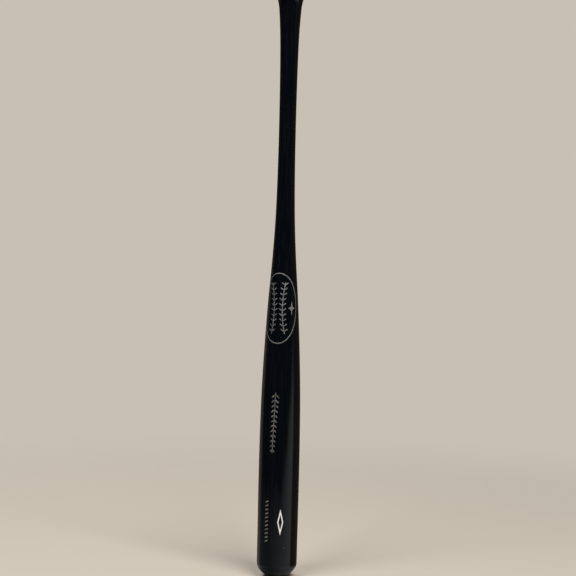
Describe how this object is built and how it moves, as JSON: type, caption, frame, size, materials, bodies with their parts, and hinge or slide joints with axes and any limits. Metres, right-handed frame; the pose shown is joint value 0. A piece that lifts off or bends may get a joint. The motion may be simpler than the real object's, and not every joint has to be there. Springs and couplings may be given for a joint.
{
  "type": "baseball bat",
  "caption": "Full-size baseball bat turned from a single billet of wood, gloss black lacquer, flared knob, rounded closed barrel end, foil emblem and ink marks on one side.",
  "frame": {"origin": "centre of the small flat on the barrel end, on the bat's axis", "axes": "+Z along the bat's axis from the barrel end to the knob; -Y is the side that carries the emblem and marks; +X to the right when the marks face the viewer with the knob up"},
  "size_m": [0.059, 0.0591, 0.8636],
  "materials": {
    "lacquered_wood": "turned hardwood stained black under clear gloss lacquer, fine lengthwise grain showing faintly",
    "silver_foil": "hot-stamped silver foil, slightly worn, satin",
    "pale_foil": "hot-stamped pale champagne foil, worn, satin",
    "white_ink": "opaque white printed ink, semi-gloss",
    "dull_ink": "dull grey-beige printed ink"
  },
  "bodies": {
    "root": {"bat_body": "lacquered_wood", "emblem_oval": "silver_foil", "emblem_seam_left": "silver_foil", "emblem_seam_right": "silver_foil", "emblem_spark": "silver_foil", "barrel_sprig": "pale_foil", "end_diamond": "white_ink", "end_dash_1": "dull_ink", "end_dash_2": "dull_ink", "end_dash_3": "dull_ink", "end_dash_4": "dull_ink", "end_dash_5": "dull_ink", "end_dash_6": "dull_ink", "end_dash_7": "dull_ink", "end_dash_8": "dull_ink", "end_dash_9": "dull_ink", "end_dash_10": "dull_ink", "end_dash_11": "dull_ink"}
  },
  "joints": []
}
